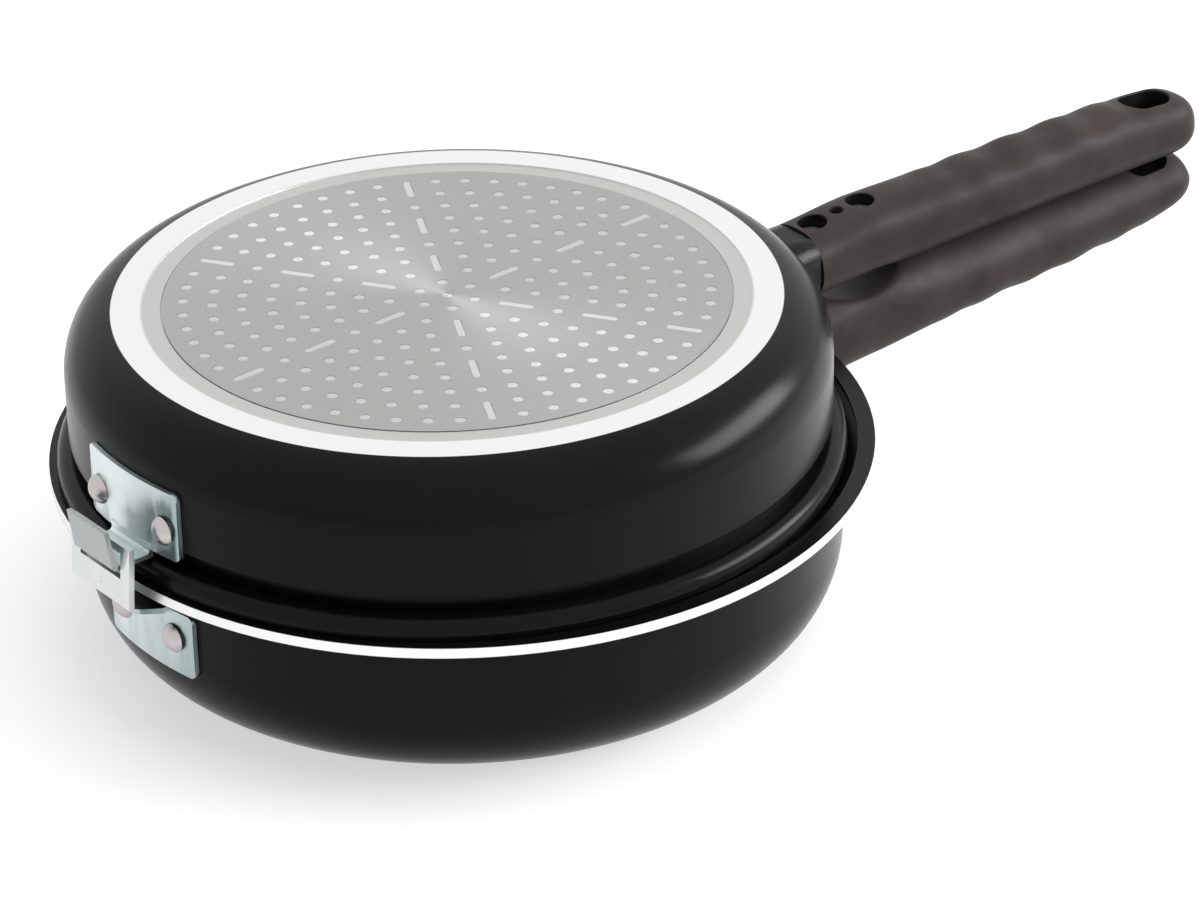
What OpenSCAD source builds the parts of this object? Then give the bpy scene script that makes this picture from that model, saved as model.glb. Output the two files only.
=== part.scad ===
// Double sided flip pan, closed: the lower pan stands on its base, the upper pan lies
// upside down on it, and the two hang together at a hook hinge opposite the handles.
// X runs from the hinge to the handles, Y across, Z up; the origin is the centre of the
// lower pan's base on the surface that it stands on.

/* [Pans] */
// Outer diameter of the lower pan's wall
pan_d = 231.4; // [200:0.2:260]
// Width of the lower pan's rim flange outside its wall
lower_flange_w = 9.6; // [8.4:0.1:11]
// Height of the lower pan
lower_h = 57; // [52:0.5:64]
// Radius where the lower pan's wall turns into its base
lower_corner_r = 28.6; // [22:0.2:30]
// Thickness of the lower pan's bare metal rim edge
rim_edge_t = 3.5; // [2.5:0.1:4.5]
// How far the upper pan's wall lies inside the lower pan's
upper_inset = 0.2; // [0:0.1:1.5]
// Width of the upper pan's rim bead outside its wall
upper_bead_w = 4.2; // [3.6:0.1:4.8]
// Height of the upper pan
upper_h = 49.1; // [46:0.1:56]
// Radius where the upper pan's wall turns into its base
upper_corner_r = 18.7; // [14:0.1:21]
// Height of the upper pan's upright rim edge, below its bead
upper_edge_t = 1.6; // [1.2:0.1:2]
// How far the upper pan's axis lies toward the hinge
upper_shift = 3.8; // [3:0.1:4.4]
// Wall thickness of both pans
wall_t = 2.4; // [2:0.1:3]
// Base thickness of both pans
base_t = 4; // [3.2:0.1:5]
// Depth turned off each base, which bares a bright band
machined_cut = 0.4; // [0.2:0.05:0.6]

/* [Base discs] */
// Distance from the upper pan's wall to the perforated steel disc in its base
upper_disc_margin = 30.1; // [27:0.1:36]
// Distance from the lower pan's wall to the perforated steel disc in its base
lower_disc_margin = 38.7; // [37.5:0.1:46]
// Width of the dull turned ring round each disc
ring_w = 6.1; // [4:0.1:7]
// Thickness of the steel discs
disc_t = 0.6; // [0.5:0.1:1]
// Diameter of the round perforations
dot_d = 3.3; // [2.4:0.1:3.8]
// Width of the bar-shaped perforations
bar_w = 2.4; // [2:0.1:3]
// Rings of perforations between the centre and the edge
dot_rings = 9; // [9]

/* [Hinge] */
// Thickness of the hinge sheet
sheet_t = 1.5; // [1.2:0.1:1.8]
// Width of the lower hinge plate
lower_plate_w = 42; // [38:0.5:44]
// Width of the upper hinge plate
upper_plate_w = 44; // [40:0.5:46]
// Width of the arm that carries the hinge bar
arm_w = 29.6; // [28:0.2:33]
// Width of the web between the lower plate and the arm, at the plate
web_w = 20; // [18:0.5:24]
// Width of the hook tongue
tongue_w = 19.4; // [17:0.2:21]
// Height of the hinge bar's section
bar_h = 2.5; // [2:0.1:2.8]
// Thickness of the arm and of its bar
arm_t = 1.8; // [1.5:0.1:2]
// Diameter of the hinge rivets' heads
hinge_head_d = 9; // [7:0.1:9.6]

/* [Handles] */
// Length of each grip
grip_l = 171; // [162:1:182]
// Width of each grip at the pan
grip_w = 26.8; // [25:0.2:29]
// Height of the upper grip over the seam
upper_grip_h = 24.8; // [24:0.1:27]
// Depth of the lower grip under the seam
lower_grip_h = 30.5; // [29.5:0.1:32]
// Height of a finger wave, from middle to crest
wave_h = 0.5; // [0.3:0.1:0.9]
// Distance from one finger wave to the next
wave_pitch = 20.4; // [18:0.2:21]
// Gap between the closed grips
seam_gap = 0.5; // [0.4:0.1:1]
// Length of the hanging hole
hang_l = 19; // [16:0.5:22]
// Width of the hanging hole
hang_w = 12; // [9:0.5:13]
// Diameter of the screw recesses
recess_d = 9.4; // [9:0.1:10.5]
// Diameter of the screw shanks
screw_d = 4; // [3.5:0.1:4.2]
// Thickness of the steel handle brackets
tang_t = 2.5; // [2:0.1:3]
// Width of the bracket's tang inside the grip
tang_w = 16; // [13:0.5:17]

/* [Hidden] */

$fn = 96;
eps = 0.01;
big = 400;

// Clearances
rim_gap = 0.4;         // between the two rims when closed
seat_gap = 0.2;        // between a wall and the curved plate riveted on it
disc_gap = 0.3;        // round a base disc in its recess
face_drop = 0.1;       // a disc's face lies this far inside the base plane
shank_gap = 0.1;       // round a rivet or screw shank
tang_gap = 0.3;        // round a tang in its pocket
collar_gap = 0.3;      // between a collar and the rim or wall beside it
head_lift = 0.05;      // under the flat of a rivet head on a curved wall

// Radii and heights of the pans
lower_wall_r = pan_d / 2;
lower_rim_r = lower_wall_r + lower_flange_w;
upper_wall_r = lower_wall_r - upper_inset;
upper_rim_r = upper_wall_r + upper_bead_w;
upper_base_z = lower_h + rim_gap + upper_h;
flange_in_r = lower_rim_r - 5.3;
seat_z = lower_h - 1.2;
throat_z = lower_h - 4;
flare_z = lower_h - 5;
flare_w = 2.8;
neck_r = upper_wall_r - 3.5;
neck_z = upper_h - 12.1;
neck_slope_h = 1.5;
neck_in_h = 3;
mouth_z = neck_z + 6.2;
lip_w = 3.2;
bead_r = 4.4;
bead_z = upper_h - upper_edge_t - bead_r;
bead_top = upper_base_z - bead_z;
ring_drop = 0.3;

// Base discs
lower_disc_d = pan_d - 2 * lower_disc_margin;
upper_disc_d = 2 * (upper_wall_r - upper_disc_margin);
disc_recess = disc_t + face_drop;
disc_turn = 2;
edge_rings = 0.73;     // ring pitches from the last ring of dots to the disc's edge

// Hinge: the bar's centre is the joint axis
bar_x = -(lower_rim_r + 4.9);
bar_z = lower_h + 13.75;
window_h = 8.3;
window_side_gap = 0.6;
window_w = tongue_w + 2 * window_side_gap;
arm_lean = 1.4;        // how far the arm's foot lies outside its bar
arm_foot_z = lower_h - 4.2;
arm_bend = 1.2;        // flat across the outside of the arm's bend
web_sink = 0.2;        // how far web and tongue run into their plates
web_bend = 1;          // how far outside the plate the web's top starts to rise
web_rise = 0.3;
dimple_r = 1.4;
dimple_h = 0.5;
dimple_z = arm_foot_z + 4;
lower_plate_top = lower_h - 10.7;
lower_plate_h = 20.8;
lower_rivet_z = lower_plate_top - 9.3;
lower_rivet_y = 13;
upper_plate_bottom = lower_h + 9.5;
upper_plate_h = 22;
upper_rivet_z = upper_plate_bottom + 9;
upper_rivet_y = 16.3;
tongue_top = lower_h + 8.3;
hook_top = bar_z + 6.5;
hook_gap = 1.4;        // between the bar and the hook's foot
hook_lean = 1.9;       // how far the hook's top lies outside its foot
hook_bend = 1;
tongue_bend = 0.8;
hinge_head_h = 2.7;
inner_head_h = 1.4;
inner_head_inset = 0.4;
hinge_shank_d = 4.6;
plate_corner = 2;

// Handles
seam_z = lower_h + 4;
grip_x = lower_rim_r + 8.7;
grip_end_r = 12.3;
end_round_l = 12;
seam_round_l = 9;
upper_end_mid = 12;
lower_end_mid = 10;
seam_corner = 7;
outer_corner = 13;
crown_room = 0.8;
scoop_l = 38;
scoop_h = 4.5;
scoop_x = 23;
screw_xs = [6.5, 26.5];
core_x = 16.5;
core_d = 4.6;
core_depth = 7;
hang_x = grip_l - 18.5;
recess_depth = 7.6;
screw_head_d = 8;
screw_head_h = 2.6;
washer_d = 8.4;
washer_t = 1.2;
washer_slit = 0.8;
tang_l = 34;
first_crest = 74;
end_upper_h = upper_grip_h - 3.3;
end_lower_h = lower_grip_h - 11.1;

// Outline of each grip: distance from the collar, height over the seam face
upper_outline = [[0, upper_grip_h - 2], [26, upper_grip_h], [56, upper_grip_h - 0.7],
                 [grip_l - 43, upper_grip_h - 0.9], [grip_l - 25, upper_grip_h - 2],
                 [grip_l - end_round_l, end_upper_h]];
lower_outline = [[0, lower_grip_h], [26, lower_grip_h - 1.4], [56, lower_grip_h - 3.3],
                 [81, lower_grip_h - 4.7], [106, lower_grip_h - 5.3],
                 [grip_l - 43, lower_grip_h - 6.8], [grip_l - 25, lower_grip_h - 8.4],
                 [grip_l - end_round_l, end_lower_h]];
wave_fade = [[52, 0], [64, 1], [grip_l - 35, 1], [grip_l - 25, 0]];
upper_tilt = 0.4;
lower_tilt = 3;

// Handle brackets: heights of the tang, its wall plate and the rivets
upper_tang_z = seam_z + 7;
lower_tang_z = flare_z - 0.5 - tang_t;
handle_plate_w = 18;
handle_plate_h = 15;
handle_rivet_y = 4.8;
handle_rivet_d = 4.4;
handle_head_d = 7;
handle_head_h = 1.8;
rivet_up = 8.8;
upper_handle_rivet_z = upper_tang_z + rivet_up;
lower_handle_rivet_z = lower_tang_z + tang_t - rivet_up;

// Heights of the tangs over their grips' seam faces
upper_tang_in = upper_tang_z - seam_z - seam_gap / 2;
lower_tang_in = seam_z - seam_gap / 2 - lower_tang_z - tang_t;

// Collars between the wall and the grips
collar_inset = 0.8;
collar_corner = 8;
collar_w = grip_w - 2 * collar_inset;
upper_collar_z = seam_z + 1;
upper_collar_top = seam_z + seam_gap / 2 + upper_outline[0][1] - collar_inset;
lower_collar_z = seam_z - seam_gap / 2 - lower_outline[0][1] + collar_inset;
lower_collar_top = seam_z - 1;

// Colours
enamel = [0.05, 0.05, 0.055];
bakelite = [0.2, 0.18, 0.17];
collar_black = [0.1, 0.1, 0.1];
zinc = [0.75, 0.8, 0.82];
steel = [0.7, 0.69, 0.66];

// ---- shapes used more than once ----

// Half profile of a cup's solid body: flat base, round corner, straight wall
module cup2d(r, h, corner) {
    square([r - corner, h]);
    translate([0, corner]) square([r, h - corner]);
    intersection() {
        translate([r - corner, corner]) circle(corner);
        square([r, h]);
    }
}

// Half profile of a pan's outside with its base turned flat
module turned2d(r, h, corner) {
    intersection() {
        translate([0, -machined_cut]) cup2d(r, h + machined_cut, corner);
        square([r, h]);
    }
}

// Ring-shaped recess and disc recess in a base, as a half profile
module base_recess2d(disc_d) {
    translate([0, -1]) square([disc_d / 2 + disc_gap, disc_recess + 1]);
    translate([0, -1]) square([disc_d / 2 + ring_w, ring_drop + 1]);
}

// Holes along X through a wall, at the given heights and sides
module wall_holes(y, z, d) {
    for (side = [-1, 1])
        translate([0, side * y, z]) rotate([0, 90, 0]) cylinder(h = big, d = d);
}

// Perforated disc: rings of round holes, with bars in their place along six spokes
module perforated_disc(d) {
    pitch = d / 2 / (dot_rings + edge_rings);
    linear_extrude(disc_t) difference() {
        circle(d / 2);
        circle(d = dot_d, $fn = 24);
        for (ring = [1 : dot_rings], i = [0 : 6 * ring - 1])
            if (i % ring != 0 || ring % 3 == 1)
                rotate(i * 60 / ring) translate([ring * pitch, 0]) circle(d = dot_d, $fn = 24);
        for (spoke = [0 : 5], bar = [1 : dot_rings / 3])
            rotate(spoke * 60) translate([(3 * bar - 0.5) * pitch, 0]) bar2d(pitch);
    }
}

module bar2d(length) {
    square([length, bar_w], center = true);
    for (end = [-1, 1]) translate([end * length / 2, 0]) circle(d = bar_w, $fn = 24);
}

// Rounded rectangle in Y and Z that stands from z0 up, extruded along X
module plate_block(w, z0, h, corner, length) {
    rotate([90, 0, 90]) linear_extrude(length) union() {
        translate([-w / 2 + corner, z0]) square([w - 2 * corner, h]);
        translate([-w / 2, z0 + corner]) square([w, h - 2 * corner]);
        for (sy = [-1, 1], z = [z0 + corner, z0 + h - corner])
            translate([sy * (w / 2 - corner), z]) circle(corner);
    }
}

// Curved plate on a wall of radius r on its -X side
module wall_plate(r, t, w, z0, h, corner) {
    intersection() {
        translate([0, 0, z0 - t]) difference() {
            cylinder(h = h + 2 * t, r = r + t);
            translate([0, 0, -t]) cylinder(h = h + 4 * t, r = r);
        }
        translate([-2 * r, 0, 0]) plate_block(w, z0, h, corner, 2 * r);
    }
}

// Rivet along +X: flat head inside the wall, round shank, domed head outside
module rivet(length, shank_d, head_d, dome_h) {
    rotate([0, 90, 0]) rotate_extrude() union() {
        translate([0, -inner_head_h]) square([head_d / 2 - inner_head_inset, inner_head_h]);
        square([shank_d / 2, length]);
        translate([0, length]) dome2d(head_d, dome_h);
    }
}

// Half profile of a dome of diameter d and height h
module dome2d(d, h) {
    sphere_r = (d * d / 4 + h * h) / (2 * h);
    intersection() {
        translate([0, h - sphere_r]) circle(sphere_r);
        square([d / 2, h]);
    }
}

// Pair of rivets through a wall of inner radius r_in and what lies on it, up to r_out
module rivet_pair(r_in, r_out, y, z, shank_d, head_d, dome_h) {
    for (side = [-1, 1]) {
        x_in = sqrt(pow(r_in, 2) - pow(y + head_d / 2, 2)) - head_lift;
        x_out = sqrt(pow(r_out, 2) - pow(y - head_d / 2, 2)) + head_lift;
        translate([x_in, side * y, z])
            rivet(x_out - x_in, shank_d, head_d, dome_h);
    }
}

// ---- pans ----

module lower_pan() {
    color(enamel) difference() {
        rotate_extrude($fn = 180) difference() {
            union() {
                turned2d(lower_wall_r, lower_h, lower_corner_r);
                translate([0, lower_h - rim_edge_t]) square([lower_rim_r, rim_edge_t]);
                polygon([[0, flare_z], [lower_wall_r, flare_z],
                         [lower_wall_r + flare_w, lower_h - rim_edge_t + eps],
                         [0, lower_h - rim_edge_t + eps]]);
            }
            translate([0, base_t])
                cup2d(lower_wall_r - wall_t, lower_h, lower_corner_r - wall_t);
            polygon([[lower_wall_r - wall_t - eps, throat_z],
                     [flange_in_r, seat_z],
                     [flange_in_r, lower_h + 1],
                     [lower_wall_r - wall_t - eps, lower_h + 1]]);
            base_recess2d(lower_disc_d);
        }
        mirror([1, 0, 0])
            wall_holes(lower_rivet_y, lower_rivet_z, hinge_shank_d + 2 * shank_gap);
        wall_holes(handle_rivet_y, lower_handle_rivet_z, handle_rivet_d + 2 * shank_gap);
    }
}

// The upper pan upright in its own frame, base at z = 0
module upper_pan_upright() {
    rotate_extrude($fn = 180) difference() {
        union() {
            turned2d(upper_wall_r, neck_z, upper_corner_r);
            polygon([[0, neck_z - eps],
                     [upper_wall_r, neck_z - eps],
                     [neck_r, neck_z + neck_slope_h],
                     [neck_r, upper_h],
                     [0, upper_h]]);
            bead2d();
        }
        translate([0, base_t]) intersection() {
            cup2d(upper_wall_r - wall_t, upper_h, upper_corner_r - wall_t);
            union() {
                square([upper_wall_r, neck_z - base_t + neck_slope_h - neck_in_h]);
                square([neck_r - wall_t, upper_h]);
            }
        }
        polygon([[neck_r - wall_t - eps, mouth_z],
                 [upper_rim_r - lip_w, upper_h + eps],
                 [neck_r - wall_t - eps, upper_h + eps]]);
        base_recess2d(upper_disc_d);
    }
}

// Half profile of the rim bead: a quarter round that ends in the rim's upright edge
module bead2d() {
    bead_x = upper_rim_r - bead_r;
    translate([0, bead_z]) square([bead_x, upper_h - bead_z]);
    translate([bead_x, upper_h - upper_edge_t]) square([bead_r, upper_edge_t]);
    intersection() {
        translate([bead_x, upper_h - upper_edge_t]) circle(bead_r);
        translate([0, bead_z]) square([upper_rim_r, bead_r]);
    }
}

module upper_pan() {
    color(enamel) translate([-upper_shift, 0, 0]) difference() {
        translate([0, 0, upper_base_z]) rotate([180, 0, 0]) upper_pan_upright();
        mirror([1, 0, 0])
            wall_holes(upper_rivet_y, upper_rivet_z, hinge_shank_d + 2 * shank_gap);
        wall_holes(handle_rivet_y, upper_handle_rivet_z, handle_rivet_d + 2 * shank_gap);
    }
}

module lower_base_disc() {
    color(steel) translate([0, 0, face_drop]) rotate(disc_turn) perforated_disc(lower_disc_d);
}

module upper_base_disc() {
    color(steel) translate([-upper_shift, 0, upper_base_z - face_drop - disc_t])
        rotate(disc_turn) perforated_disc(upper_disc_d);
}

// ---- hinge ----

// Web and arm of the lower bracket, seen from the side
module arm_side2d() {
    plate_in = -(lower_wall_r + seat_gap);
    plate_out = plate_in - sheet_t;
    arm_in = bar_x + arm_t / 2;
    arm_out = bar_x - arm_t / 2;
    foot_in = arm_in - arm_lean;
    foot_out = arm_out - arm_lean;
    polygon([[plate_in - web_sink, lower_plate_top - sheet_t],
             [plate_in - web_sink, lower_plate_top],
             [plate_out - web_bend, lower_plate_top + web_rise],
             [foot_in, arm_foot_z],
             [arm_in, bar_z + bar_h / 2],
             [arm_out, bar_z + bar_h / 2],
             [foot_out, arm_foot_z],
             [foot_out + arm_bend, arm_foot_z - arm_bend],
             [plate_out - web_bend, lower_plate_top - sheet_t]]);
}

// Web and arm seen from above: narrow at the plate, full width from the bend outward
module arm_plan2d() {
    plate_x = -(lower_wall_r + seat_gap);
    bend_x = bar_x + arm_t / 2 - arm_lean;
    polygon([[bar_x - arm_t - arm_lean, -arm_w / 2],
             [bend_x + arm_t, -arm_w / 2],
             [plate_x, -web_w / 2],
             [plate_x, web_w / 2],
             [bend_x + arm_t, arm_w / 2],
             [bar_x - arm_t - arm_lean, arm_w / 2]]);
}

module lower_hinge_bracket() {
    plate_r = lower_wall_r + seat_gap;
    window_top = bar_z - bar_h / 2;
    window_depth = 2 * (arm_t + arm_lean);
    dimple_x = bar_x - arm_t / 2 - arm_lean * (bar_z - dimple_z) / (bar_z - arm_foot_z);
    color(zinc) difference() {
        union() {
            wall_plate(plate_r, sheet_t, lower_plate_w, lower_plate_top - lower_plate_h,
                       lower_plate_h, plate_corner);
            intersection() {
                translate([0, arm_w, 0]) rotate([90, 0, 0])
                    linear_extrude(2 * arm_w) arm_side2d();
                translate([0, 0, lower_plate_top - arm_w]) linear_extrude(2 * arm_w) arm_plan2d();
                difference() {
                    cube(2 * big, center = true);
                    cylinder(h = big, r = plate_r);
                }
            }
        }
        translate([bar_x, 0, window_top - window_h / 2])
            cube([window_depth, window_w, window_h], center = true);
        mirror([1, 0, 0])
            wall_holes(lower_rivet_y, lower_rivet_z, hinge_shank_d + 2 * shank_gap);
        translate([dimple_x - dimple_r + dimple_h, 0, dimple_z]) sphere(r = dimple_r, $fn = 32);
    }
}

// Tongue and hook of the upper bracket, seen from the side
module hook_side2d() {
    plate_in = -(upper_shift + upper_wall_r + seat_gap);
    plate_out = plate_in - sheet_t;
    hook_in = bar_x - arm_t / 2 - hook_gap;
    hook_out = hook_in - sheet_t;
    tongue_low = tongue_top - sheet_t;
    polygon([[plate_in - web_sink, upper_plate_bottom + plate_corner],
             [plate_in - web_sink, tongue_low],
             [hook_out + hook_bend, tongue_low],
             [hook_out, tongue_low + hook_bend],
             [hook_out - hook_lean, hook_top],
             [hook_in - hook_lean, hook_top],
             [hook_in, tongue_top + tongue_bend],
             [hook_in + tongue_bend, tongue_top],
             [plate_out - tongue_bend, tongue_top],
             [plate_out, tongue_top + tongue_bend],
             [plate_out, upper_plate_bottom + plate_corner]]);
}

module upper_hinge_bracket() {
    plate_r = upper_wall_r + seat_gap;
    color(zinc) difference() {
        union() {
            translate([-upper_shift, 0, 0])
                wall_plate(plate_r, sheet_t, upper_plate_w, upper_plate_bottom,
                           upper_plate_h, plate_corner);
            translate([0, tongue_w / 2, 0]) rotate([90, 0, 0])
                linear_extrude(tongue_w) hook_side2d();
        }
        translate([-upper_shift, 0, 0]) mirror([1, 0, 0])
            wall_holes(upper_rivet_y, upper_rivet_z, hinge_shank_d + 2 * shank_gap);
    }
}

module lower_hinge_rivets() {
    color(steel) mirror([1, 0, 0])
        rivet_pair(lower_wall_r - wall_t, lower_wall_r + seat_gap + sheet_t,
                   lower_rivet_y, lower_rivet_z, hinge_shank_d, hinge_head_d, hinge_head_h);
}

module upper_hinge_rivets() {
    color(steel) translate([-upper_shift, 0, 0]) mirror([1, 0, 0])
        rivet_pair(upper_wall_r - wall_t, upper_wall_r + seat_gap + sheet_t,
                   upper_rivet_y, upper_rivet_z, hinge_shank_d, hinge_head_d, hinge_head_h);
}

// ---- handles ----

// L-shaped bracket about a pan's axis: curved plate on the wall, flat tang along X
module handle_bracket(wall_r, tang_z, plate_z, tang_x_end) {
    plate_r = wall_r + seat_gap;
    mirror([1, 0, 0])
        wall_plate(plate_r, tang_t, handle_plate_w, plate_z, handle_plate_h, plate_corner);
    translate([plate_r + 0.5, -tang_w / 2, tang_z])
        cube([tang_x_end - plate_r - 0.5, tang_w, tang_t]);
}

// Threaded holes in a tang, at the grips' screws
module tang_holes() {
    for (x = screw_xs)
        translate([grip_x + x, 0, 0]) cylinder(h = big, d = screw_d + 2 * shank_gap);
}

module lower_handle_bracket() {
    color(zinc) difference() {
        handle_bracket(lower_wall_r, lower_tang_z,
                       lower_tang_z + tang_t - handle_plate_h, grip_x + tang_l);
        wall_holes(handle_rivet_y, lower_handle_rivet_z, handle_rivet_d + 2 * shank_gap);
        tang_holes();
    }
}

module upper_handle_bracket() {
    color(zinc) difference() {
        translate([-upper_shift, 0, 0])
            handle_bracket(upper_wall_r, upper_tang_z, upper_tang_z,
                           grip_x + tang_l + upper_shift);
        wall_holes(handle_rivet_y, upper_handle_rivet_z, handle_rivet_d + 2 * shank_gap);
        tang_holes();
    }
}

module lower_handle_rivets() {
    color(steel)
        rivet_pair(lower_wall_r - wall_t, lower_wall_r + seat_gap + tang_t,
                   handle_rivet_y, lower_handle_rivet_z, handle_rivet_d, handle_head_d,
                   handle_head_h);
}

module upper_handle_rivets() {
    color(steel) translate([-upper_shift, 0, 0])
        rivet_pair(upper_wall_r - wall_t, upper_wall_r + seat_gap + tang_t,
                   handle_rivet_y, upper_handle_rivet_z, handle_rivet_d, handle_head_d,
                   handle_head_h);
}

// Room for a bracket's wall plate, rivet heads and tang inside a collar
module bracket_room(wall_r, tang_z, plate_z) {
    room_r = wall_r + seat_gap + tang_t + handle_head_h + 2 * tang_gap;
    intersection() {
        cylinder(h = big, r = room_r);
        translate([wall_r / 2, 0, 0])
            plate_block(handle_plate_w + 2 * tang_gap, plate_z - tang_gap,
                        handle_plate_h + 2 * tang_gap, plate_corner, wall_r);
    }
    translate([wall_r, -tang_w / 2 - tang_gap, tang_z - tang_gap])
        cube([wall_r, tang_w + 2 * tang_gap, tang_t + 2 * tang_gap]);
}

module lower_collar() {
    color(collar_black) difference() {
        translate([lower_wall_r - collar_w / 2, 0, 0])
            plate_block(collar_w, lower_collar_z, lower_collar_top - lower_collar_z,
                        collar_corner, grip_x - lower_wall_r + collar_w / 2);
        cylinder(h = big, r = lower_wall_r + collar_gap);
        translate([0, 0, flare_z - collar_gap])
            cylinder(h = big, r = lower_rim_r + collar_gap);
        bracket_room(lower_wall_r, lower_tang_z,
                     lower_tang_z + tang_t - handle_plate_h);
    }
}

module upper_collar() {
    color(collar_black) difference() {
        translate([lower_wall_r - collar_w / 2, 0, 0])
            plate_block(collar_w, upper_collar_z, upper_collar_top - upper_collar_z,
                        collar_corner, grip_x - lower_wall_r + collar_w / 2);
        translate([-upper_shift, 0, 0]) {
            cylinder(h = big, r = upper_wall_r + collar_gap);
            cylinder(h = bead_top + collar_gap, r = upper_rim_r + collar_gap);
            bracket_room(upper_wall_r, upper_tang_z, upper_tang_z);
        }
    }
}

// Height of a grip's waved back over its seam face
function back_h(x, outline) =
    lookup(x, outline)
    + wave_h * lookup(x, wave_fade) * cos(360 * (x - first_crest) / wave_pitch);

// A grip in its own frame: collar face at x = 0, seam face at z = 0, back upward
module grip_solid(outline, end_h, end_mid, tilt) {
    straight_l = grip_l - end_round_l;
    intersection() {
        rotate([90, 0, 0]) linear_extrude(2 * grip_w, center = true)
            polygon(concat([[0, 0]],
                           [for (i = [0 : 70])
                               [straight_l * i / 70, back_h(straight_l * i / 70, outline)]],
                           [for (a = [10 : 10 : 90])
                               [straight_l + end_round_l * sin(a),
                                end_mid + (end_h - end_mid) * cos(a)]],
                           [for (a = [80 : -10 : 0])
                               [grip_l - seam_round_l * (1 - sin(a)),
                                end_mid * (1 - cos(a))]]));
        linear_extrude(2 * grip_w) union() {
            polygon([[0, -grip_w / 2], [grip_l - grip_end_r, -grip_end_r],
                     [grip_l - grip_end_r, grip_end_r], [0, grip_w / 2]]);
            translate([grip_l - grip_end_r, 0]) circle(grip_end_r);
        }
        plate_block(grip_w, 0, 3 * grip_w, seam_corner, grip_l);
        rotate([0, tilt, 0]) translate([-10, 0, 0])
            plate_block(grip_w, -2 * grip_w, 2 * grip_w + outline[1][1] + crown_room,
                        outer_corner, grip_l + 20);
    }
}

// Everything cut from a grip, in the grip's own frame
module grip_cuts(outline, tang_in) {
    scoop_r = (scoop_l * scoop_l / 4 + scoop_h * scoop_h) / (2 * scoop_h);
    translate([scoop_x, 0, scoop_h - scoop_r]) rotate([90, 0, 0])
        cylinder(h = 2 * grip_w, r = scoop_r, center = true);
    translate([-1, -tang_w / 2 - tang_gap, tang_in - tang_gap])
        cube([tang_l + 1 + tang_gap, tang_w + 2 * tang_gap, tang_t + 2 * tang_gap]);
    for (x = screw_xs) {
        translate([x, 0, screw_seat(x, outline)]) cylinder(h = big, d = recess_d);
        translate([x, 0, tang_in]) cylinder(h = big, d = screw_d + 4 * shank_gap);
    }
    translate([core_x, 0, lookup(core_x, outline) - core_depth])
        cylinder(h = big, d = core_d);
    linear_extrude(big, center = true) union() {
        translate([hang_x, 0]) square([hang_l - hang_w, hang_w], center = true);
        for (side = [-1, 1])
            translate([hang_x + side * (hang_l - hang_w) / 2, 0]) circle(d = hang_w);
    }
}

// Height of a screw recess's floor over the seam face
function screw_seat(x, outline) = lookup(x, outline) - recess_depth;

module screw(shank_l) {
    difference() {
        union() {
            cylinder(h = screw_head_h, d = screw_head_d);
            translate([0, 0, -shank_l]) cylinder(h = shank_l + eps, d = screw_d);
        }
        for (turn = [0, 90])
            rotate(turn) translate([0, 0, screw_head_h])
                cube([screw_head_d * 0.6, 1.2, 2.6], center = true);
    }
}

module screws(outline, tang_in) {
    for (x = screw_xs) {
        head_z = screw_seat(x, outline) + washer_t;
        translate([x, 0, head_z]) rotate(30) screw(head_z - tang_in);
    }
}

module washers(outline) {
    for (x = screw_xs)
        translate([x, 0, screw_seat(x, outline)]) difference() {
            cylinder(h = washer_t, d = washer_d);
            translate([0, 0, -1]) cylinder(h = washer_t + 2, d = screw_d + 4 * shank_gap);
            translate([0, washer_d / 2, 0])
                cube([washer_slit, washer_d, 3 * washer_t], center = true);
        }
}

// Carries what is drawn in a grip's own frame to its place
module on_upper_grip() {
    translate([grip_x, 0, seam_z + seam_gap / 2]) children();
}

module on_lower_grip() {
    translate([grip_x, 0, seam_z - seam_gap / 2]) mirror([0, 0, 1]) children();
}

module lower_grip() {
    color(bakelite) on_lower_grip() difference() {
        grip_solid(lower_outline, end_lower_h, lower_end_mid, lower_tilt);
        grip_cuts(lower_outline, lower_tang_in);
    }
}

module upper_grip() {
    color(bakelite) on_upper_grip() difference() {
        grip_solid(upper_outline, end_upper_h, upper_end_mid, upper_tilt);
        grip_cuts(upper_outline, upper_tang_in);
    }
}

module lower_grip_screws() {
    color(steel) on_lower_grip() screws(lower_outline, lower_tang_in);
}

module upper_grip_screws() {
    color(steel) on_upper_grip() screws(upper_outline, upper_tang_in);
}

module lower_screw_washers() {
    color(zinc) on_lower_grip() washers(lower_outline);
}

module upper_screw_washers() {
    color(zinc) on_upper_grip() washers(upper_outline);
}

lower_pan();
lower_base_disc();
lower_hinge_bracket();
lower_hinge_rivets();
lower_handle_bracket();
lower_handle_rivets();
lower_collar();
lower_grip();
lower_grip_screws();
lower_screw_washers();
upper_pan();
upper_base_disc();
upper_hinge_bracket();
upper_hinge_rivets();
upper_handle_bracket();
upper_handle_rivets();
upper_collar();
upper_grip();
upper_grip_screws();
upper_screw_washers();
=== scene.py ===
"""Double sided flip pan, closed, on a white sweep: camera, light, materials and fine shapes."""
import math

import bmesh
import bpy
from mathutils import Matrix, Vector

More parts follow.
